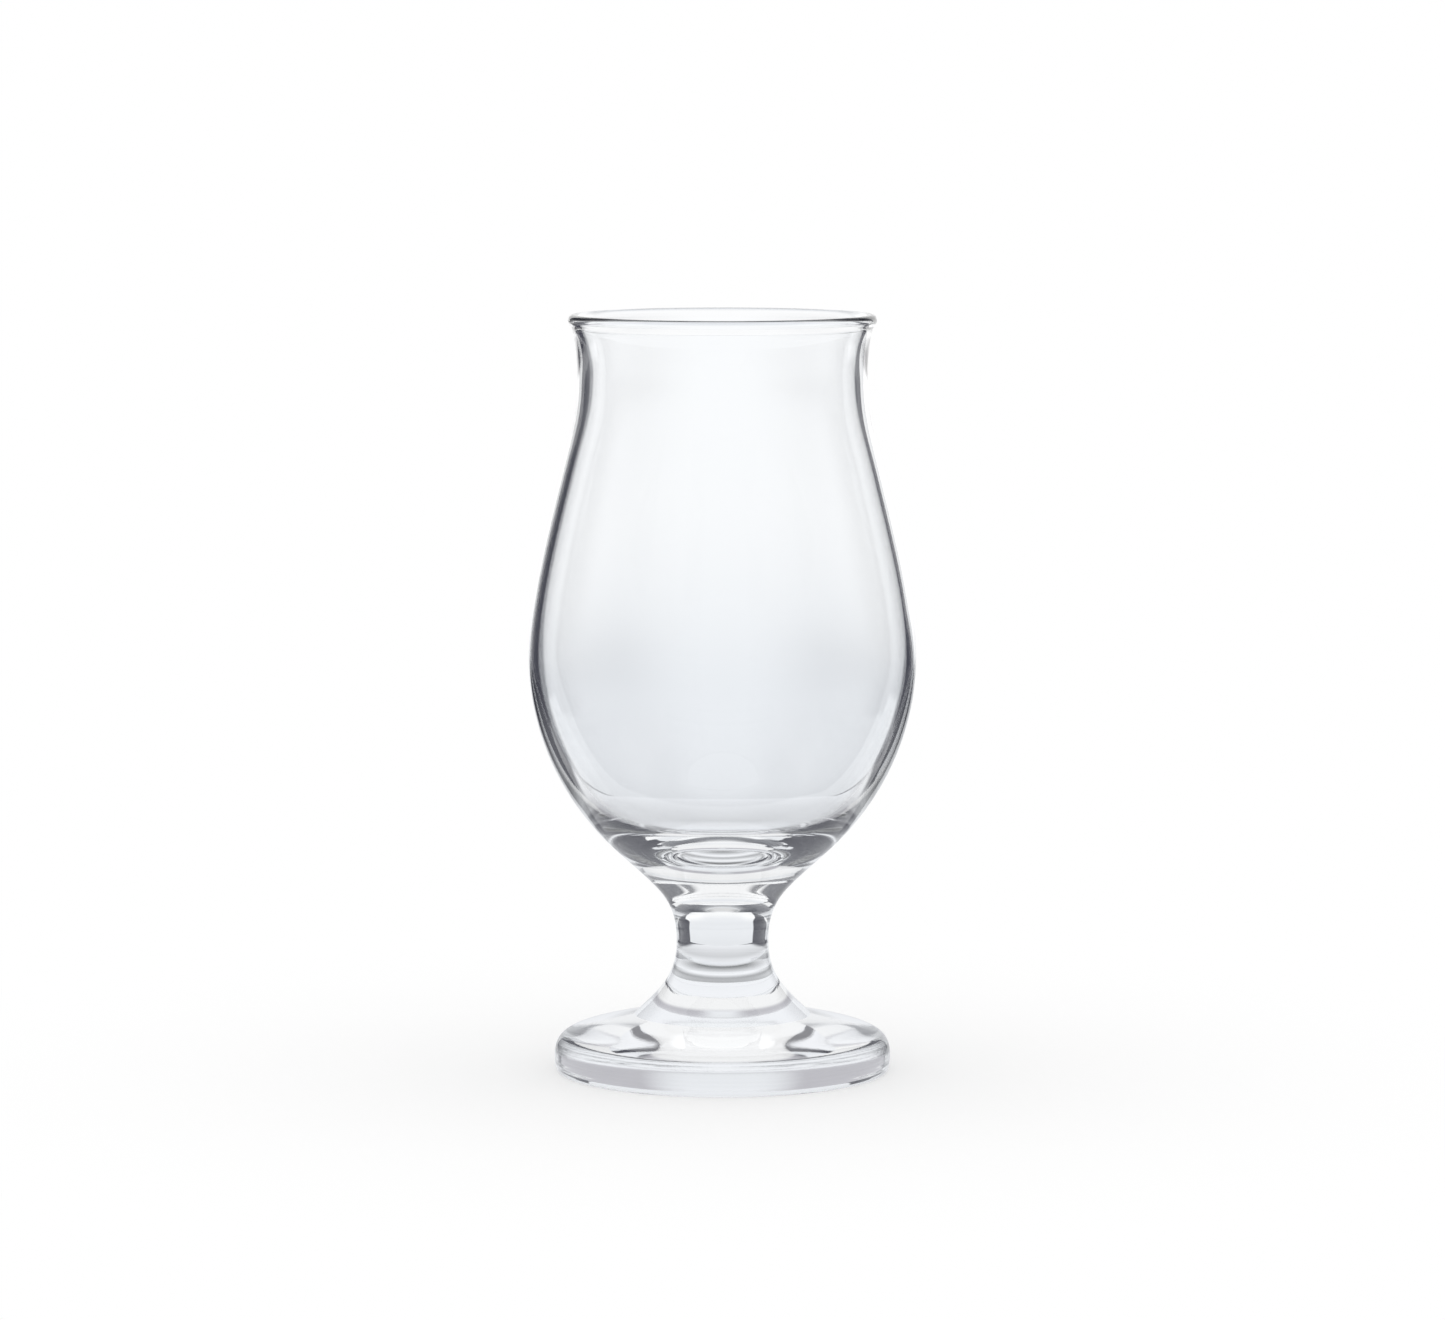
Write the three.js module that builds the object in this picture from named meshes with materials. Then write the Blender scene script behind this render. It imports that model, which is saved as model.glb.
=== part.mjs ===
// A stemmed beer glass: a blown tulip bowl, a solid waisted stem and a pressed foot, fused face to face.
// Millimetres, +Z up. The glass stands on z = 0, with its axis on x = y = 0.

import * as THREE from "three";

// Foot: a flat-bottomed disc with a domed top and a flare up to the stem.
const FOOT_DIAMETER = 62;
const FOOT_EDGE_HEIGHT = 2.6;
const FOOT_EDGE_ROUNDING = 0.8;
const FOOT_DOME_RISE = 7.8;
const FOOT_DOME_SLOPE = 14.5;
const FLARE_DIAMETER = 32.4;
const FLARE_RISE = 4.8;
const FLARE_LEAN = 42;

// Stem: solid, with the joint to the foot below its waist and the joint to the bowl above it.
const FOOT_JOINT_DIAMETER = 23;
const FOOT_JOINT_LEAN = 39.7;
const WAIST_RISE = 8.9;
const WAIST_DIAMETER = 16.9;
const BOWL_JOINT_RISE = 7.9;
const BOWL_JOINT_DIAMETER = 21.1;
const BOWL_JOINT_LEAN = 33.8;

// Bowl: a cone that opens to the belly, draws in over a shoulder to the neck and flares to a rounded lip.
const CONE_RISE = 9.5;
const CONE_DIAMETER = 40.3;
const CONE_LEAN = 46.5;
const BELLY_RISE = 35;
const BELLY_DIAMETER = 71.1;
const SHOULDER_RISE = 34;
const SHOULDER_DIAMETER = 59;
const SHOULDER_LEAN = 13.8;
const NECK_RISE = 17;
const NECK_DIAMETER = 53;
const LIP_RISE = 12;
const LIP_DIAMETER = 56.5;
const LIP_THICKNESS = 2.2;
const LIP_OUTSIDE_LEAN = 45;
const LIP_INSIDE_LEAN = 16;

// Inside of the bowl: the glass left under it and around it, and the heel where its bottom turns up.
const BASE_THICKNESS = 9.3;
const HEEL_RISE = 7.2;
const HEEL_DIAMETER = 44.8;
const HEEL_LEAN = 45;
const BELLY_WALL = 1.7;
const SHOULDER_WALL = 1.9;
const NECK_WALL = 2.2;

// How far a curve keeps its direction at each end, as a share of the straight distance between its ends.
const EDGE_TO_DOME = [0.33, 0.7];
const FLARE_TO_JOINT = [0.3, 0.4];
const JOINT_TO_WAIST = [0.35, 0.4];
const WAIST_TO_JOINT = [0.35, 0.35];
const JOINT_TO_CONE = [0.27, 0.33];
const CONE_TO_BELLY = [0.43, 0.26];
const BELLY_TO_SHOULDER = [0.3, 0.27];
const SHOULDER_TO_NECK = [0.43, 0.34];
const NECK_TO_LIP = [0.36, 0.13];
const BOTTOM_TO_HEEL = [0.38, 0.27];
const HEEL_TO_BELLY = [0.34, 0.3];

// Fineness of the solids.
const STEPS_AROUND = 48;
const STEPS_ALONG = 6;

const FLAT = 90;
const UPRIGHT = 0;

// A point of an outline, with the way the outline runs through it: 0 is straight up, 90 is straight outwards.
function station(diameter, height, lean) {
  const angle = THREE.MathUtils.degToRad(lean);
  return {
    at: new THREE.Vector2(diameter / 2, height),
    along: new THREE.Vector2(Math.sin(angle), Math.cos(angle)),
  };
}

// The points of a smooth curve between two stations.
function curve(from, to, [leaving, arriving]) {
  const chord = from.at.distanceTo(to.at);
  const first = from.at.clone().addScaledVector(from.along, leaving * chord);
  const second = to.at.clone().addScaledVector(to.along, -arriving * chord);
  return new THREE.CubicBezierCurve(from.at, first, second, to.at).getPoints(STEPS_ALONG);
}

// The points of an arc of an ellipse about a centre, between two angles in degrees.
function arc(centre, radiusOut, radiusUp, startAngle, endAngle) {
  const start = THREE.MathUtils.degToRad(startAngle);
  const end = THREE.MathUtils.degToRad(endAngle);
  const ellipse = new THREE.EllipseCurve(centre.x, centre.y, radiusOut, radiusUp, start, end, end < start);
  return ellipse.getPoints(STEPS_ALONG);
}

// A solid of revolution about +Z, from an outline that runs from the axis out, up and back to the axis.
function turned(name, outline, material) {
  const points = outline.filter((point, i) => i === 0 || point.distanceTo(outline[i - 1]) > 1e-6);
  const geometry = new THREE.LatheGeometry(points, STEPS_AROUND);
  geometry.rotateX(Math.PI / 2);
  const mesh = new THREE.Mesh(geometry, material);
  mesh.name = name;
  return mesh;
}

function onAxis(height) {
  return new THREE.Vector2(0, height);
}

function clearGlass(colour) {
  return new THREE.MeshStandardMaterial({
    color: colour,
    roughness: 0.04,
    metalness: 0,
    transparent: true,
    opacity: 0.35,
  });
}

// The two joints, which the pieces on both sides of each share.
const footJoint = (height) => station(FOOT_JOINT_DIAMETER, height, -FOOT_JOINT_LEAN);
const bowlJoint = (height) => station(BOWL_JOINT_DIAMETER, height, BOWL_JOINT_LEAN);

const footHeight = FOOT_EDGE_HEIGHT + FOOT_DOME_RISE + FLARE_RISE;
const stemHeight = WAIST_RISE + BOWL_JOINT_RISE;

function makeFoot() {
  const baseRadius = FOOT_DIAMETER / 2 - FOOT_EDGE_ROUNDING;
  const edgeCentre = new THREE.Vector2(baseRadius, FOOT_EDGE_HEIGHT);
  const edge = station(FOOT_DIAMETER, FOOT_EDGE_HEIGHT, UPRIGHT);
  const domeHeight = FOOT_EDGE_HEIGHT + FOOT_DOME_RISE;
  const domeTop = station(FLARE_DIAMETER, domeHeight, FOOT_DOME_SLOPE - FLAT);
  const flareFoot = station(FLARE_DIAMETER, domeHeight, -FLARE_LEAN);
  const outline = [
    onAxis(0),
    ...arc(edgeCentre, FOOT_EDGE_ROUNDING, FOOT_EDGE_HEIGHT, -90, 0),
    ...curve(edge, domeTop, EDGE_TO_DOME),
    ...curve(flareFoot, footJoint(footHeight), FLARE_TO_JOINT),
    onAxis(footHeight),
  ];
  return turned("foot", outline, clearGlass(0xe9eef0));
}

function makeStem() {
  const waist = station(WAIST_DIAMETER, WAIST_RISE, UPRIGHT);
  const outline = [
    onAxis(0),
    ...curve(footJoint(0), waist, JOINT_TO_WAIST),
    ...curve(waist, bowlJoint(stemHeight), WAIST_TO_JOINT),
    onAxis(stemHeight),
  ];
  return turned("stem", outline, clearGlass(0xe6ebef));
}

function makeBowl() {
  const bellyHeight = CONE_RISE + BELLY_RISE;
  const shoulderHeight = bellyHeight + SHOULDER_RISE;
  const neckHeight = shoulderHeight + NECK_RISE;
  const lipRadius = LIP_THICKNESS / 2;
  const lipCentre = new THREE.Vector2(LIP_DIAMETER / 2 - lipRadius, neckHeight + LIP_RISE - lipRadius);
  const lip = arc(lipCentre, lipRadius, lipRadius, -LIP_OUTSIDE_LEAN, 180 - LIP_INSIDE_LEAN);
  const lipOutside = station(2 * lip.at(0).x, lip.at(0).y, LIP_OUTSIDE_LEAN);
  const lipInside = station(2 * lip.at(-1).x, lip.at(-1).y, LIP_INSIDE_LEAN);

  const cone = station(CONE_DIAMETER, CONE_RISE, CONE_LEAN);
  const belly = station(BELLY_DIAMETER, bellyHeight, UPRIGHT);
  const shoulder = station(SHOULDER_DIAMETER, shoulderHeight, -SHOULDER_LEAN);
  const neck = station(NECK_DIAMETER, neckHeight, UPRIGHT);

  const bottom = station(0, BASE_THICKNESS, FLAT);
  const heel = station(HEEL_DIAMETER, BASE_THICKNESS + HEEL_RISE, HEEL_LEAN);
  const innerBelly = station(BELLY_DIAMETER - 2 * BELLY_WALL, bellyHeight, UPRIGHT);
  const innerShoulder = station(SHOULDER_DIAMETER - 2 * SHOULDER_WALL, shoulderHeight, -SHOULDER_LEAN);
  const innerNeck = station(NECK_DIAMETER - 2 * NECK_WALL, neckHeight, UPRIGHT);

  const inside = [
    ...curve(bottom, heel, BOTTOM_TO_HEEL),
    ...curve(heel, innerBelly, HEEL_TO_BELLY),
    ...curve(innerBelly, innerShoulder, BELLY_TO_SHOULDER),
    ...curve(innerShoulder, innerNeck, SHOULDER_TO_NECK),
    ...curve(innerNeck, lipInside, NECK_TO_LIP),
  ];
  const outline = [
    onAxis(0),
    ...curve(bowlJoint(0), cone, JOINT_TO_CONE),
    ...curve(cone, belly, CONE_TO_BELLY),
    ...curve(belly, shoulder, BELLY_TO_SHOULDER),
    ...curve(shoulder, neck, SHOULDER_TO_NECK),
    ...curve(neck, lipOutside, NECK_TO_LIP),
    ...lip,
    ...inside.reverse(),
  ];
  return turned("bowl", outline, clearGlass(0xe3eaee));
}

const foot = makeFoot();
const stem = makeStem();
const bowl = makeBowl();
stem.position.z = footHeight;
bowl.position.z = footHeight + stemHeight;

const glass = new THREE.Group();
glass.name = "stemmed_beer_glass";
glass.add(foot, stem, bowl);

export default glass;
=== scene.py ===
import math

import bmesh
import bpy
import numpy as np
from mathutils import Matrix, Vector


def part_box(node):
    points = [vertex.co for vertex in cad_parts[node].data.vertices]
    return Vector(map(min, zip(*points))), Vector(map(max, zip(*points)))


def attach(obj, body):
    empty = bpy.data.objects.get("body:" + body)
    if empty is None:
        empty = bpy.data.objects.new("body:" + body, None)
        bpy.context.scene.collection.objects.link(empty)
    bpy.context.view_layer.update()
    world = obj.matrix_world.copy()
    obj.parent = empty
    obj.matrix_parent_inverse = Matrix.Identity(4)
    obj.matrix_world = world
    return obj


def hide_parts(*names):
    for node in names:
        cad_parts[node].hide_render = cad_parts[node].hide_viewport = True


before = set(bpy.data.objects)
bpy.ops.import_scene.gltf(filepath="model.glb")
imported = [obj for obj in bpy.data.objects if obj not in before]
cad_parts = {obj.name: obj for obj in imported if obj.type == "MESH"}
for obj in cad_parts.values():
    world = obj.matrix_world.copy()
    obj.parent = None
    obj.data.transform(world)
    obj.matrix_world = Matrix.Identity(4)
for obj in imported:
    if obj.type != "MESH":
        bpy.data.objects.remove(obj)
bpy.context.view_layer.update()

# The glass stands on z = 0 with its axis on x = y = 0. All sizes are in metres and angles in degrees.
FOOT_LOW, FOOT_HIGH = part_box("foot")
STEM_LOW, STEM_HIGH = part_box("stem")
BOWL_LOW, BOWL_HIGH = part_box("bowl")

# Foot
FOOT_DIAMETER = FOOT_HIGH.x - FOOT_LOW.x
FOOT_EDGE_HEIGHT = 0.0026
FOOT_EDGE_ROUNDING = 0.0008
FOOT_DOME_HEIGHT = 0.0104
FOOT_DOME_SLOPE = 14.5
FLARE_DIAMETER = 0.0324
FLARE_LEAN = 42

# Stem
FOOT_JOINT_HEIGHT = STEM_LOW.z
FOOT_JOINT_DIAMETER = STEM_HIGH.x - STEM_LOW.x
FOOT_JOINT_LEAN = 39.7
WAIST_RISE = 0.0089
WAIST_HEIGHT = FOOT_JOINT_HEIGHT + WAIST_RISE
WAIST_DIAMETER = 0.0169
BOWL_JOINT_HEIGHT = STEM_HIGH.z
BOWL_JOINT_DIAMETER = 0.0211
BOWL_JOINT_LEAN = 33.8

# Bowl, outside
CONE_RISE = 0.0095
CONE_HEIGHT = BOWL_LOW.z + CONE_RISE
CONE_DIAMETER = 0.0403
CONE_LEAN = 46.5
BELLY_RISE = 0.035
BELLY_HEIGHT = CONE_HEIGHT + BELLY_RISE
BELLY_DIAMETER = BOWL_HIGH.x - BOWL_LOW.x
SHOULDER_RISE = 0.034
SHOULDER_HEIGHT = BELLY_HEIGHT + SHOULDER_RISE
SHOULDER_DIAMETER = 0.059
SHOULDER_LEAN = 13.8
NECK_RISE = 0.017
NECK_HEIGHT = SHOULDER_HEIGHT + NECK_RISE
NECK_DIAMETER = 0.053
LIP_TOP = BOWL_HIGH.z
LIP_DIAMETER = 0.0565
LIP_THICKNESS = 0.0022
LIP_OUTSIDE_LEAN = 45
LIP_INSIDE_LEAN = 16

# Bowl, inside
BASE_THICKNESS = 0.0093
HEEL_RISE = 0.0072
HEEL_DIAMETER = 0.0448
HEEL_LEAN = 45
BELLY_WALL = 0.0017
SHOULDER_WALL = 0.0019
NECK_WALL = 0.0022

# Leans of an outline
UPRIGHT = 0
FLAT = 90

# How far a curve keeps its direction at each end, as a share of the straight distance between its ends.
EDGE_TO_DOME = (0.33, 0.7)
FLARE_TO_JOINT = (0.3, 0.4)
JOINT_TO_WAIST = (0.35, 0.4)
WAIST_TO_JOINT = (0.35, 0.35)
JOINT_TO_CONE = (0.27, 0.33)
CONE_TO_BELLY = (0.43, 0.26)
BELLY_TO_SHOULDER = (0.3, 0.27)
SHOULDER_TO_NECK = (0.43, 0.34)
NECK_TO_LIP = (0.36, 0.13)
BOTTOM_TO_HEEL = (0.38, 0.27)
HEEL_TO_BELLY = (0.34, 0.3)

# Fineness of the meshes
STEPS_AROUND = 224
STEP_ALONG = 0.0009
LEAST_STEPS = 8
STEPS_PER_ARC = 18
SAME_POINT = 1e-7
SHARP_ANGLE = 25
DISC_STEPS = 96

# A face is a joint if it is this level and this near to the joint's height.
LEVEL_ENOUGH = 0.999
NEAR_ENOUGH = 1e-5

# Glass: its faint colour, its polish as roughness over noise, and the depth of its slow waves
GLASS_COLOUR = (0.985, 0.993, 1, 1)
GLASS_IOR = 1.52
POLISH_SCALE, POLISH_DETAIL = 38, 3
POLISH_NOISE = (0.35, 0.75)
POLISH_ROUGHNESS = 0.03
WAVE_SCALE, WAVE_DETAIL = 46, 1
BLOWN_WAVES = 6e-6
DRAWN_WAVES = 6e-6
PRESSED_WAVES = 8e-6

# Rings as (period, depth, lowest, highest, soft end), and the stipple under the foot
STEM_RINGS = [(0.0019, 2e-6, 0.0150, 0.0205, 0.0012)]
FOOT_RINGS = [(0.0019, 2e-6, 0.0145, 0.0170, 0.0010), (0.0008, 5e-6, 0.0004, 0.0034, 0.0004)]
STIPPLE_TOP = 0.0004
STIPPLE_SCALE, STIPPLE_DETAIL = 1400, 2
STIPPLE_DEPTH = 2e-6
STIPPLE_ROUGHNESS = 0.05

# Camera, at the photograph's angle
CAMERA_PLACE = (0, -1.103, 0.190)
CAMERA_AIM = (0, 0, 0.076)
CAMERA_LENS = 150.4
CAMERA_SENSOR = 36
CAMERA_NEAR = 0.01

# Floor: the shadow fades out between two distances from the axis, and the floor's own light fills part of it.
FLOOR_RADIUS = 4
SHADOW_FADE = (0.03, 0.17)
SHADOW_FILL = 0.4

# The set from here on shows only in the glass, and its places and tones are tuned to the photograph.
# A pair of numbers is where a change starts and where it ends.

# Cards: narrower towards the belly's height, and wider above it
CARD_DISTANCE = 0.125
CARD_LEFT = -0.068
CARD_RIGHT = 0.078
CARD_TOP = 0.215
CARD_SOFT = 0.005
CARD_TOP_SOFT = 0.04
CARD_WAIST = 1.06
CARD_WAIST_Z = (0.03, 0.06)
CARD_SPREAD_LEFT = 0.88
CARD_SPREAD_RIGHT = 0.75
CARD_SPREAD_Z = (0.055, 0.085)
CARD_MIDDLE_Z = (0, 0.026)
CARD_HIGH_Z = (0.05, 0.1)
CARD_CORNER_X = (0.02, 0.05)
CARD_CORNER_Z = (0.04, 0.1)
SIDE_CARD_LOW_Z = (0.026, 0.016)

# Strip behind the foot, a sheet of painted shade and light: dark in the middle of its low part
STRIP_DISTANCE = 0.05
STRIP_WIDTH = 0.09
STRIP_HEIGHT = 0.04
STRIP_GAP_X = (0.0005, 0.003)
STRIP_TURN_Z = (0.0105, 0.015)
STRIP_REFLECTIONS = (0.5, 3.5, 0.1)

# Table: a cross with soft edges, and its rings of painted shade and light, which stand for what the foot
# throws there, as (distance from the axis, level)
TABLE_RADIUS = 0.13
TABLE_DROP = 0.0003
TABLE_SIDE = 0.072
TABLE_FADE = 0.024
TABLE_TINT = (0.985, 1, 1.03)
TABLE_PAINTED_RINGS = [
    (0.006, 132), (0.0145, 252), (0.018, 166), (0.023, 246),
    (0.036, 244), (0.06, 206), (TABLE_RADIUS, 244),
]

# Room: turns from straight ahead of the camera, and heights above the level; windows as (from, to, soft end)
BACK_REFLECTED = (36, 55)
BACK_THROUGH = (105, 165)
TOP_UP = (64, 84)
WINDOW_AHEAD = (38, 54, 2)
WINDOW_AHEAD_LIFT = 11
WINDOW_BEHIND = (122, 150, 3)
WINDOW_BEHIND_LIFT = 19
GROUND_LINE = (-25.5, -28.5)
GLOW_AROUND = (60, 85)
GLOW_UP = (-2, -24)
GROUND_NEAR_UP = (-28, -60)

# Light that was reflected more often than this loses strength, down to a last share.
WORN_AFTER = (6, 30)
WORN_TO = 0.34
STRAIGHT_BELOW = 0.5

BOUNCES = 96
SEE_THROUGH_BOUNCES = 32
SCREEN_GAMMA = 2.2


def grey(level, tint=(1, 1, 1)):
    """A colour that shows as about this level of 255 on the screen."""
    linear = (level / 255) ** SCREEN_GAMMA
    return (linear * tint[0], linear * tint[1], linear * tint[2], 1)


WHITE = grey(255)
CARD_LOW = grey(232, (0.98, 1, 1.03))
CARD_MIDDLE = grey(238, (0.98, 1, 1.03))
CARD_HIGH = grey(255)
CARD_CORNER = grey(266)
STRIP_PAINTED_SHADE = grey(186, (1, 0.985, 1.05))
STRIP_PAINTED_LIGHT = grey(246)
ROOM_DIM = grey(74, (0.94, 0.96, 1.22))
ROOM_BACK = grey(246, (0.98, 1, 1.02))
ROOM_TOP = grey(218)
GROUND_FAR = grey(247, (0.99, 1, 1.02))
GROUND_NEAR = grey(252)


def station(diameter, height, lean):
    """A point of an outline, and the way it runs through there: 0 is straight up, 90 is straight out."""
    angle = math.radians(lean)
    return np.array((diameter / 2, height)), np.array((math.sin(angle), math.cos(angle)))


def curve(start, end, reach):
    """The points of a smooth curve between two stations."""
    (a, along_a), (b, along_b) = start, end
    chord = np.linalg.norm(b - a)
    c = a + along_a * reach[0] * chord
    d = b - along_b * reach[1] * chord
    steps = max(LEAST_STEPS, round(chord / STEP_ALONG))
    t = np.linspace(0, 1, steps + 1)[:, None]
    return (1 - t) ** 3 * a + 3 * t * (1 - t) ** 2 * c + 3 * t**2 * (1 - t) * d + t**3 * b


def arc(centre, radius_out, radius_up, start_angle, end_angle):
    """The points of an arc of an ellipse about a centre."""
    angle = np.radians(np.linspace(start_angle, end_angle, STEPS_PER_ARC + 1))
    return np.column_stack((centre[0] + radius_out * np.cos(angle), centre[1] + radius_up * np.sin(angle)))


def on_axis(height):
    return np.array([(0.0, height)])


def outline_of(*stretches):
    """One outline from its stretches, without the points that two stretches share."""
    points = np.concatenate(stretches)
    steps = np.linalg.norm(np.diff(points, axis=0), axis=1)
    return points[np.concatenate(([True], steps > SAME_POINT))]


FOOT_JOINT = station(FOOT_JOINT_DIAMETER, FOOT_JOINT_HEIGHT, -FOOT_JOINT_LEAN)
BOWL_JOINT = station(BOWL_JOINT_DIAMETER, BOWL_JOINT_HEIGHT, BOWL_JOINT_LEAN)


def foot_outline():
    base_radius = FOOT_DIAMETER / 2 - FOOT_EDGE_ROUNDING
    edge = station(FOOT_DIAMETER, FOOT_EDGE_HEIGHT, UPRIGHT)
    dome_top = station(FLARE_DIAMETER, FOOT_DOME_HEIGHT, FOOT_DOME_SLOPE - FLAT)
    flare_foot = station(FLARE_DIAMETER, FOOT_DOME_HEIGHT, -FLARE_LEAN)
    return outline_of(
        on_axis(0),
        arc((base_radius, FOOT_EDGE_HEIGHT), FOOT_EDGE_ROUNDING, FOOT_EDGE_HEIGHT, -90, 0),
        curve(edge, dome_top, EDGE_TO_DOME),
        curve(flare_foot, FOOT_JOINT, FLARE_TO_JOINT),
        on_axis(FOOT_JOINT_HEIGHT),
    )


def stem_outline():
    waist = station(WAIST_DIAMETER, WAIST_HEIGHT, UPRIGHT)
    return outline_of(
        on_axis(FOOT_JOINT_HEIGHT),
        curve(FOOT_JOINT, waist, JOINT_TO_WAIST),
        curve(waist, BOWL_JOINT, WAIST_TO_JOINT),
        on_axis(BOWL_JOINT_HEIGHT),
    )


def bowl_outline():
    lip_radius = LIP_THICKNESS / 2
    lip_centre = (LIP_DIAMETER / 2 - lip_radius, LIP_TOP - lip_radius)
    lip = arc(lip_centre, lip_radius, lip_radius, -LIP_OUTSIDE_LEAN, 180 - LIP_INSIDE_LEAN)
    lip_outside = station(2 * lip[0][0], lip[0][1], LIP_OUTSIDE_LEAN)
    lip_inside = station(2 * lip[-1][0], lip[-1][1], LIP_INSIDE_LEAN)
    cone = station(CONE_DIAMETER, CONE_HEIGHT, CONE_LEAN)
    belly = station(BELLY_DIAMETER, BELLY_HEIGHT, UPRIGHT)
    shoulder = station(SHOULDER_DIAMETER, SHOULDER_HEIGHT, -SHOULDER_LEAN)
    neck = station(NECK_DIAMETER, NECK_HEIGHT, UPRIGHT)
    bottom = station(0, BOWL_JOINT_HEIGHT + BASE_THICKNESS, FLAT)
    heel = station(HEEL_DIAMETER, BOWL_JOINT_HEIGHT + BASE_THICKNESS + HEEL_RISE, HEEL_LEAN)
    inner_belly = station(BELLY_DIAMETER - 2 * BELLY_WALL, BELLY_HEIGHT, UPRIGHT)
    inner_shoulder = station(SHOULDER_DIAMETER - 2 * SHOULDER_WALL, SHOULDER_HEIGHT, -SHOULDER_LEAN)
    inner_neck = station(NECK_DIAMETER - 2 * NECK_WALL, NECK_HEIGHT, UPRIGHT)
    inside = outline_of(
        curve(bottom, heel, BOTTOM_TO_HEEL),
        curve(heel, inner_belly, HEEL_TO_BELLY),
        curve(inner_belly, inner_shoulder, BELLY_TO_SHOULDER),
        curve(inner_shoulder, inner_neck, SHOULDER_TO_NECK),
        curve(inner_neck, lip_inside, NECK_TO_LIP),
    )
    return outline_of(
        on_axis(BOWL_JOINT_HEIGHT),
        curve(BOWL_JOINT, cone, JOINT_TO_CONE),
        curve(cone, belly, CONE_TO_BELLY),
        curve(belly, shoulder, BELLY_TO_SHOULDER),
        curve(shoulder, neck, SHOULDER_TO_NECK),
        curve(neck, lip_outside, NECK_TO_LIP),
        lip,
        inside[::-1],
    )


def turned(name, outline):
    """A closed solid of revolution from an outline that starts and ends on the axis."""
    angles = np.linspace(0, 2 * math.pi, STEPS_AROUND, endpoint=False)
    rings = outline[1:-1]
    x = np.outer(rings[:, 0], np.cos(angles))
    y = np.outer(rings[:, 0], np.sin(angles))
    z = np.repeat(rings[:, 1:], STEPS_AROUND, axis=1)
    points = np.column_stack((x.ravel(), y.ravel(), z.ravel())).tolist()
    first = len(points)
    points += [(0, 0, outline[0][1]), (0, 0, outline[-1][1])]
    faces = []
    for j in range(STEPS_AROUND):
        k = (j + 1) % STEPS_AROUND
        faces.append((first, k, j))
        for i in range(len(rings) - 1):
            low, high = i * STEPS_AROUND, (i + 1) * STEPS_AROUND
            faces.append((low + j, low + k, high + k, high + j))
        last = (len(rings) - 1) * STEPS_AROUND
        faces.append((first + 1, last + j, last + k))
    mesh = bpy.data.meshes.new(name)
    mesh.from_pydata(points, [], faces)
    mesh.shade_smooth()
    mesh.set_sharp_from_angle(angle=math.radians(SHARP_ANGLE))
    piece = bpy.data.objects.new(name, mesh)
    bpy.context.scene.collection.objects.link(piece)
    return piece


class Nodes:
    """Adds nodes to a node tree, with numbers or other nodes' outputs as their inputs."""

    def __init__(self, tree):
        self.tree = tree

    def add(self, kind, *inputs, output=0, **settings):
        node = self.tree.nodes.new(kind)
        for key, value in settings.items():
            setattr(node, key, value)
        for socket, value in zip(node.inputs, inputs):
            self.feed(socket, value)
        return node.outputs[output]

    def feed(self, socket, value):
        if isinstance(value, bpy.types.NodeSocket):
            self.tree.links.new(value, socket)
        elif value is not None:
            socket.default_value = value

    def end(self, kind, shader):
        self.tree.links.new(shader, self.tree.nodes.new(kind).inputs["Surface"])

    def split(self, vector):
        node = self.tree.nodes.new("ShaderNodeSeparateXYZ")
        self.tree.links.new(vector, node.inputs[0])
        return node.outputs

    def where(self, kind="Object"):
        return self.add("ShaderNodeTexCoord", output=kind)

    def path(self, fact):
        return self.add("ShaderNodeLightPath", output=fact)

    def math(self, operation, a, b=None):
        return self.add("ShaderNodeMath", a, b, operation=operation)

    def length(self, x, y):
        return self.math("SQRT", self.math("ADD", self.math("MULTIPLY", x, x), self.math("MULTIPLY", y, y)))

    def ramp(self, value, low, high, start=0.0, end=1.0):
        """From start at low to end at high, smooth between and level outside."""
        if low > high:
            low, high, start, end = high, low, end, start
        return self.add("ShaderNodeMapRange", value, low, high, start, end, interpolation_type="SMOOTHSTEP")

    def between(self, value, low, high, soft):
        """1 between low and high and 0 outside, with soft ends."""
        rising = self.ramp(value, low - soft, low + soft)
        return self.math("MULTIPLY", rising, self.ramp(value, high + soft, high - soft))

    def noise(self, where, scale, detail):
        node = self.tree.nodes.new("ShaderNodeTexNoise")
        self.feed(node.inputs["Vector"], where)
        node.inputs["Scale"].default_value = scale
        node.inputs["Detail"].default_value = detail
        return node.outputs["Fac"]

    def straight(self):
        """1 for light that was not reflected on its way through the glass, and 0 for the rest."""
        return self.math("LESS_THAN", self.path("Glossy Depth"), STRAIGHT_BELOW)

    def strength(self):
        """Less for light that was reflected often, which stands in for the absorption of real glass."""
        return self.ramp(self.path("Glossy Depth"), *WORN_AFTER, 1, WORN_TO)

    def mix(self, factor, a, b):
        """A mix of two colours, by the node's colour sockets."""
        node = self.tree.nodes.new("ShaderNodeMix")
        node.data_type = "RGBA"
        self.feed(node.inputs["Factor"], factor)
        self.feed(node.inputs[6], a)
        self.feed(node.inputs[7], b)
        return node.outputs[2]

    def shown(self, share, colour, strength):
        """A surface that glows where the share is 1 and lets everything through where it is 0."""
        glow = self.add("ShaderNodeEmission", colour, strength)
        return self.add("ShaderNodeMixShader", share, self.add("ShaderNodeBsdfTransparent"), glow)


def rings(n, z, period, depth, low, high, soft):
    """Shallow rings around the axis, from one height to another."""
    wave = n.math("SINE", n.math("MULTIPLY", z, 2 * math.pi / period))
    return n.math("MULTIPLY", n.math("MULTIPLY", wave, depth), n.between(z, low, high, soft))


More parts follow.
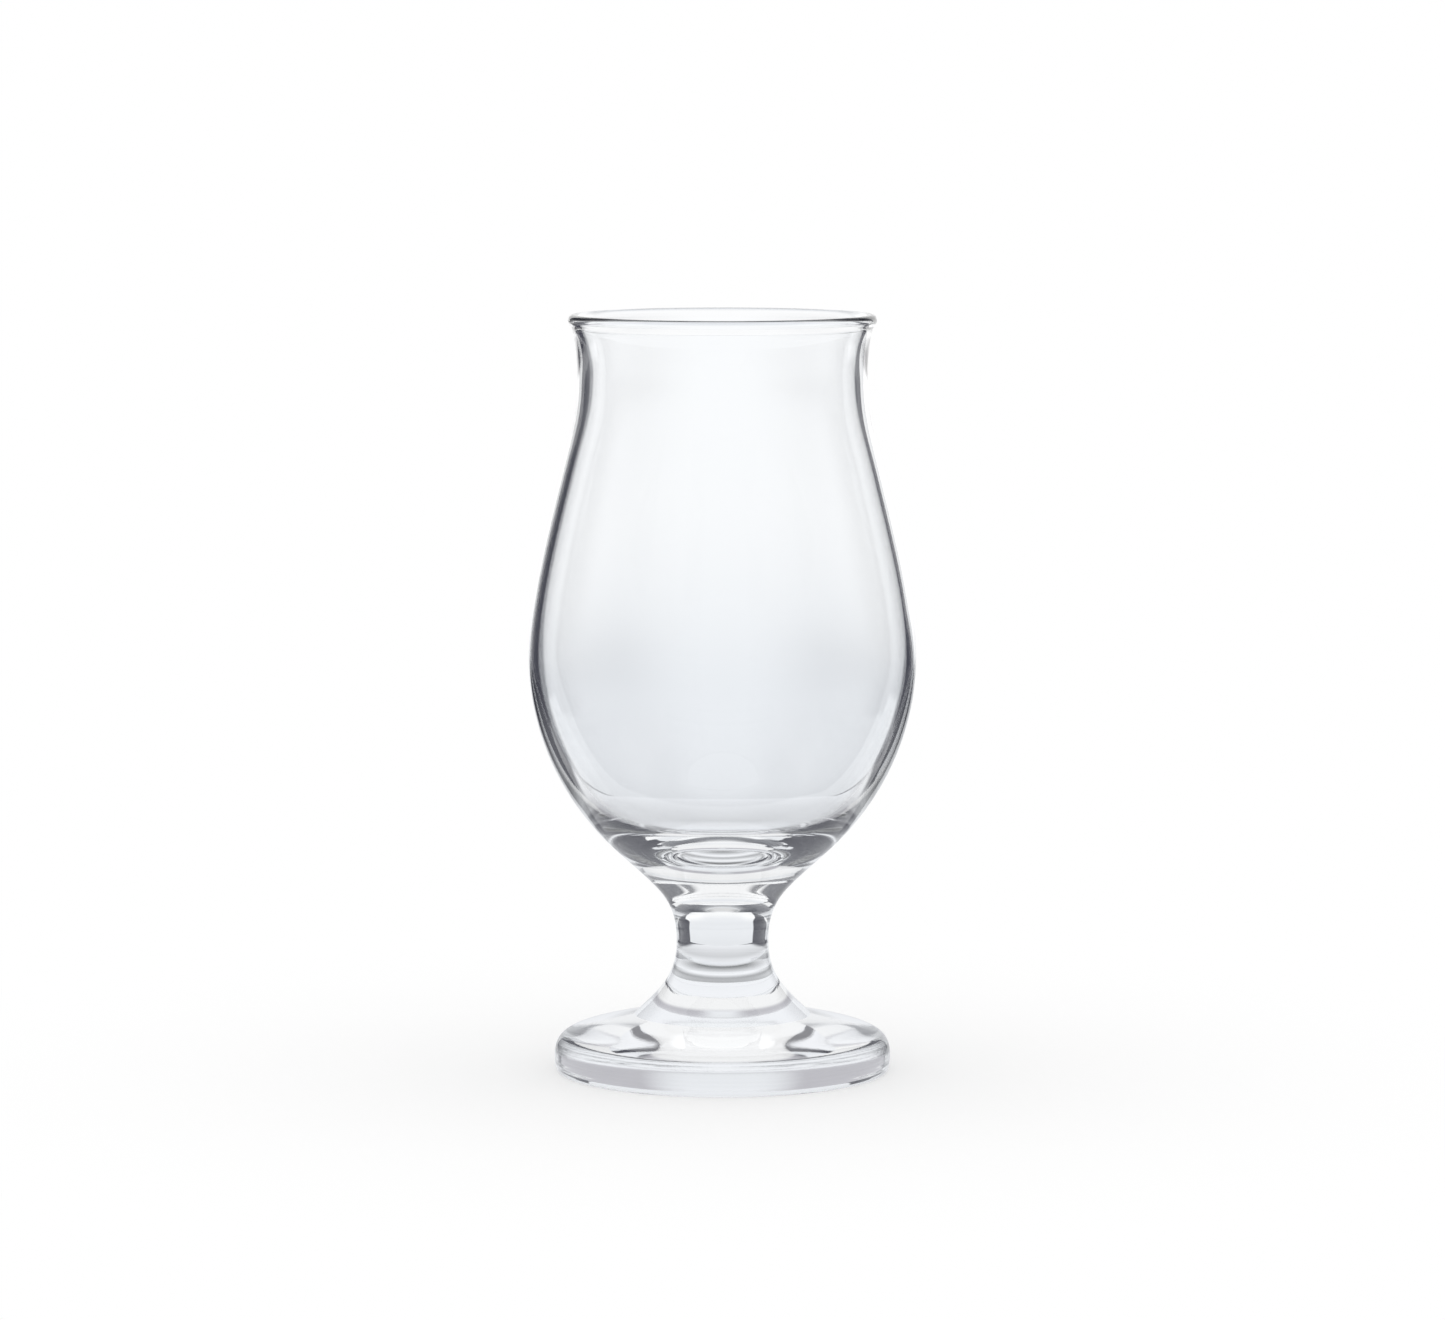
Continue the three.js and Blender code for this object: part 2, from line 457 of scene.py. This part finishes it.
def glass_material(name, waves, ring_sets=(), stipple_top=None):
    """Clear glass: faintly uneven, ringed where a tool touched it and stippled where a mould pressed it."""
    material = bpy.data.materials.new(name)
    material.use_nodes = True
    shader = material.node_tree.nodes["Principled BSDF"]
    shader.inputs["Base Color"].default_value = GLASS_COLOUR
    shader.inputs["IOR"].default_value = GLASS_IOR
    shader.inputs["Transmission Weight"].default_value = 1
    n = Nodes(material.node_tree)
    where = n.where()
    z = n.split(where)[2]
    rough = n.ramp(n.noise(where, POLISH_SCALE, POLISH_DETAIL), *POLISH_NOISE, 0.0, POLISH_ROUGHNESS)
    height = n.math("MULTIPLY", n.noise(where, WAVE_SCALE, WAVE_DETAIL), waves)
    for ring_set in ring_sets:
        height = n.math("ADD", height, rings(n, z, *ring_set))
    if stipple_top:
        under = n.ramp(z, stipple_top, stipple_top / 2)
        grain = n.math("MULTIPLY", n.noise(where, STIPPLE_SCALE, STIPPLE_DETAIL), STIPPLE_DEPTH)
        height = n.math("ADD", height, n.math("MULTIPLY", grain, under))
        rough = n.math("MAXIMUM", rough, n.math("MULTIPLY", under, STIPPLE_ROUGHNESS))
    bump = n.add("ShaderNodeBump")
    bump.node.inputs["Strength"].default_value = 1
    bump.node.inputs["Distance"].default_value = 1
    n.feed(bump.node.inputs["Height"], height)
    n.feed(shader.inputs["Roughness"], rough)
    n.feed(shader.inputs["Normal"], bump)
    return material


def joint_material():
    """The melted joints between the pieces can't be seen, so their faces let everything through."""
    material = bpy.data.materials.new("melted_joint")
    material.use_nodes = True
    shader = material.node_tree.nodes["Principled BSDF"]
    shader.inputs["Alpha"].default_value = 0
    return material


MELTED = joint_material()
BLOWN = glass_material("blown_glass", BLOWN_WAVES)
DRAWN = glass_material("drawn_glass", DRAWN_WAVES, STEM_RINGS)
PRESSED = glass_material("pressed_glass", PRESSED_WAVES, FOOT_RINGS, STIPPLE_TOP)


def dress(piece, node, material, joint_heights):
    """Gives a piece its glass and its see-through joints, hangs it on the root body and hides the CAD node
    that it stands for.
    """
    piece.data.materials.append(material)
    piece.data.materials.append(MELTED)
    for face in piece.data.polygons:
        level = abs(face.normal.z) > LEVEL_ENOUGH
        if level and any(abs(face.center.z - h) < NEAR_ENOUGH for h in joint_heights):
            face.material_index = 1
    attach(piece, "root")
    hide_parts(node)


foot = turned("foot_pressed", foot_outline())
stem = turned("stem_drawn", stem_outline())
bowl = turned("bowl_blown", bowl_outline())
dress(foot, "foot", PRESSED, [FOOT_JOINT_HEIGHT])
dress(stem, "stem", DRAWN, [FOOT_JOINT_HEIGHT, BOWL_JOINT_HEIGHT])
dress(bowl, "bowl", BLOWN, [BOWL_JOINT_HEIGHT])


def add_camera():
    camera = bpy.data.objects.new("camera", bpy.data.cameras.new("camera"))
    bpy.context.scene.collection.objects.link(camera)
    camera.data.lens = CAMERA_LENS
    camera.data.sensor_width = CAMERA_SENSOR
    camera.data.clip_start = CAMERA_NEAR
    camera.location = CAMERA_PLACE
    aim = Vector(CAMERA_AIM) - camera.location
    camera.rotation_euler = aim.to_track_quat("-Z", "Y").to_euler()
    bpy.context.scene.camera = camera


def add_stage(name, mesh, material, only_in_glass):
    """A piece of the set. The floor is seen directly, and the rest only in the glass."""
    thing = bpy.data.objects.new(name, mesh)
    bpy.context.scene.collection.objects.link(thing)
    mesh.materials.append(material)
    thing.visible_camera = not only_in_glass
    thing.visible_diffuse = not only_in_glass
    thing.visible_shadow = not only_in_glass
    thing.visible_glossy = only_in_glass
    thing.visible_transmission = only_in_glass
    return thing


def disc(name, radius, height):
    mesh = bpy.data.meshes.new(name)
    shape = bmesh.new()
    bmesh.ops.create_circle(shape, cap_ends=True, segments=DISC_STEPS, radius=radius)
    bmesh.ops.translate(shape, vec=(0, 0, height), verts=shape.verts)
    shape.to_mesh(mesh)
    shape.free()
    return mesh


def upright_sheet(name, left, right, y, top):
    mesh = bpy.data.meshes.new(name)
    corners = [(left, y, 0), (right, y, 0), (right, y, top), (left, y, top)]
    mesh.from_pydata(corners, [], [(0, 1, 2, 3)])
    return mesh


def set_material(name):
    material = bpy.data.materials.new(name)
    material.use_nodes = True
    material.node_tree.nodes.clear()
    return material, Nodes(material.node_tree)


def add_floor():
    """The white floor, which keeps a soft shadow near the glass."""
    material, n = set_material("white_floor")
    x, y, z = n.split(n.where())
    far = n.ramp(n.length(x, y), *SHADOW_FADE, SHADOW_FILL, 1)
    lit = n.add("ShaderNodeBsdfDiffuse", WHITE)
    glowing = n.add("ShaderNodeEmission", WHITE, 1.0)
    n.end("ShaderNodeOutputMaterial", n.add("ShaderNodeMixShader", far, lit, glowing))
    add_stage("floor", disc("floor", FLOOR_RADIUS, 0), material, False)


def add_table():
    """The pale table that the glass shows. Its rings are drawn tones, not light that the glass throws in the
    render: painted shade and painted light that stand for the shadow and bright rings under the foot.
    """
    material, n = set_material("table")
    x, y, z = n.split(n.where())
    away = n.math("DIVIDE", n.length(x, y), TABLE_RADIUS)
    # Painted shade and light: dark and bright rings that stand for the foot's shadow and the light it throws
    # there
    tones = n.add("ShaderNodeValToRGB", away)
    stops = tones.node.color_ramp.elements
    stops.remove(stops[1])
    for place, level in TABLE_PAINTED_RINGS:
        stop = stops.new(place / TABLE_RADIUS)
        stop.color = grey(level, TABLE_TINT)
    stops.remove(stops[0])
    along = n.ramp(n.math("ABSOLUTE", x), TABLE_SIDE, TABLE_SIDE - TABLE_FADE)
    across = n.ramp(n.math("ABSOLUTE", y), TABLE_SIDE - TABLE_FADE, TABLE_SIDE - 2 * TABLE_FADE)
    covered = n.math("MAXIMUM", along, across)
    n.end("ShaderNodeOutputMaterial", n.shown(covered, tones, n.strength()))
    add_stage("table", disc("table", TABLE_RADIUS, -TABLE_DROP), material, True)


def card_shape(n, x, z):
    """1 on a card and 0 beside it, with soft sides and a soft top."""
    half = CARD_SOFT / 2
    waisted = n.math("MULTIPLY", x, n.ramp(z, *CARD_WAIST_Z, 1, CARD_WAIST))
    to_left = n.math("MULTIPLY", waisted, n.ramp(z, *CARD_SPREAD_Z, 1, CARD_SPREAD_LEFT))
    to_right = n.math("MULTIPLY", waisted, n.ramp(z, *CARD_SPREAD_Z, 1, CARD_SPREAD_RIGHT))
    from_left = n.ramp(to_left, CARD_LEFT - half, CARD_LEFT + half)
    inside = n.math("MULTIPLY", from_left, n.ramp(to_right, CARD_RIGHT + half, CARD_RIGHT - half))
    return n.math("MULTIPLY", inside, n.ramp(z, CARD_TOP, CARD_TOP - CARD_TOP_SOFT))


def card_material(name, seen_by_all):
    """A white card, shaded towards its foot and brightest in its upper corners."""
    material, n = set_material(name)
    x, y, z = n.split(n.where())
    colour = n.mix(n.ramp(z, *CARD_MIDDLE_Z), CARD_LOW, CARD_MIDDLE)
    colour = n.mix(n.ramp(z, *CARD_HIGH_Z), colour, CARD_HIGH)
    corner = n.math("MULTIPLY", n.ramp(n.math("ABSOLUTE", x), *CARD_CORNER_X), n.ramp(z, *CARD_CORNER_Z))
    colour = n.mix(corner, colour, CARD_CORNER)
    inside = card_shape(n, x, z)
    if not seen_by_all:
        seen = n.math("MAXIMUM", n.straight(), n.ramp(z, *SIDE_CARD_LOW_Z))
        inside = n.math("MULTIPLY", inside, seen)
    n.end("ShaderNodeOutputMaterial", n.shown(inside, colour, n.strength()))
    return material


def add_cards():
    """A card behind the glass, and three more whose upper part only shows straight through it."""
    left = CARD_LEFT / CARD_SPREAD_LEFT - CARD_SOFT
    right = CARD_RIGHT / CARD_SPREAD_RIGHT + CARD_SOFT
    behind, beside = card_material("card", True), card_material("side_card", False)
    cards = [("card", 0, behind), ("right", 90, beside), ("front", 180, beside), ("left", 270, beside)]
    for name, turn, material in cards:
        mesh = upright_sheet(name, left, right, CARD_DISTANCE, CARD_TOP)
        card = add_stage(name, mesh, material, True)
        card.rotation_euler.z = math.radians(-turn)


def add_strip():
    """A low strip close behind the foot, which only shows in light that was reflected one to three times. Its
    dark low middle is painted shade and its pale top is painted light, which show in the foot.
    """
    material, n = set_material("strip")
    x, y, z = n.split(n.where())
    reflected = n.between(n.path("Glossy Depth"), *STRIP_REFLECTIONS)
    reflected = n.math("MULTIPLY", n.path("Is Transmission Ray"), reflected)
    above = n.ramp(z, *STRIP_TURN_Z)
    beside = n.math("MAXIMUM", n.ramp(n.math("ABSOLUTE", x), *STRIP_GAP_X), above)
    # Painted shade low in the middle, and painted light above it
    colour = n.mix(above, STRIP_PAINTED_SHADE, STRIP_PAINTED_LIGHT)
    n.end("ShaderNodeOutputMaterial", n.shown(n.math("MULTIPLY", reflected, beside), colour, 1.0))
    mesh = upright_sheet("strip", -STRIP_WIDTH / 2, STRIP_WIDTH / 2, STRIP_DISTANCE, STRIP_HEIGHT)
    add_stage("strip", mesh, material, True)


def room_light(n, around, up, through):
    """The colour of the room above the ground: dim ahead, light behind the camera and overhead."""
    start, end = (
        n.add("ShaderNodeMath", through, by_glass - by_gloss, by_gloss, operation="MULTIPLY_ADD")
        for by_glass, by_gloss in zip(BACK_THROUGH, BACK_REFLECTED)
    )
    back = n.add("ShaderNodeMapRange", around, start, end, 0, 1, interpolation_type="SMOOTHSTEP")
    colour = n.mix(back, ROOM_DIM, ROOM_BACK)
    return n.mix(n.ramp(up, *TOP_UP), colour, ROOM_TOP)


def ground_share(n, around, up):
    """1 where the pale ground shows: below a line that windows lift, and as a glow in reflected light."""
    straight = n.straight()
    ahead = n.math("MULTIPLY", n.between(around, *WINDOW_AHEAD), WINDOW_AHEAD_LIFT)
    behind = n.math("MULTIPLY", n.between(around, *WINDOW_BEHIND), straight)
    behind = n.math("MULTIPLY", behind, WINDOW_BEHIND_LIFT)
    below = n.ramp(n.math("SUBTRACT", up, n.math("ADD", ahead, behind)), *GROUND_LINE)
    glow = n.math("MULTIPLY", n.ramp(around, *GLOW_AROUND), n.ramp(up, *GLOW_UP))
    glow = n.math("MULTIPLY", glow, n.math("SUBTRACT", 1, straight))
    return n.math("MAXIMUM", below, glow)


def add_room():
    """White for the camera and the floor, and a dim room above a pale ground in the glass."""
    world = bpy.data.worlds.new("room")
    world.use_nodes = True
    bpy.context.scene.world = world
    world.node_tree.nodes.clear()
    n = Nodes(world.node_tree)
    x, y, z = n.split(n.where("Generated"))
    degrees = 180 / math.pi
    around = n.math("ABSOLUTE", n.math("MULTIPLY", n.math("ARCTAN2", x, y), degrees))
    up = n.math("MULTIPLY", n.math("ARCSINE", z), degrees)
    through = n.path("Is Transmission Ray")
    ground = n.mix(n.ramp(up, *GROUND_NEAR_UP), GROUND_FAR, GROUND_NEAR)
    colour = n.mix(ground_share(n, around, up), room_light(n, around, up, through), ground)
    in_glass = n.math("MAXIMUM", n.path("Is Glossy Ray"), through)
    colour = n.mix(in_glass, WHITE, colour)
    n.end("ShaderNodeOutputWorld", n.add("ShaderNodeBackground", colour, n.strength()))


def set_render():
    scene = bpy.context.scene
    scene.view_settings.view_transform = "Standard"
    scene.cycles.max_bounces = BOUNCES
    scene.cycles.transmission_bounces = BOUNCES
    scene.cycles.glossy_bounces = BOUNCES
    scene.cycles.transparent_max_bounces = SEE_THROUGH_BOUNCES


add_camera()
add_floor()
add_table()
add_cards()
add_strip()
add_room()
set_render()
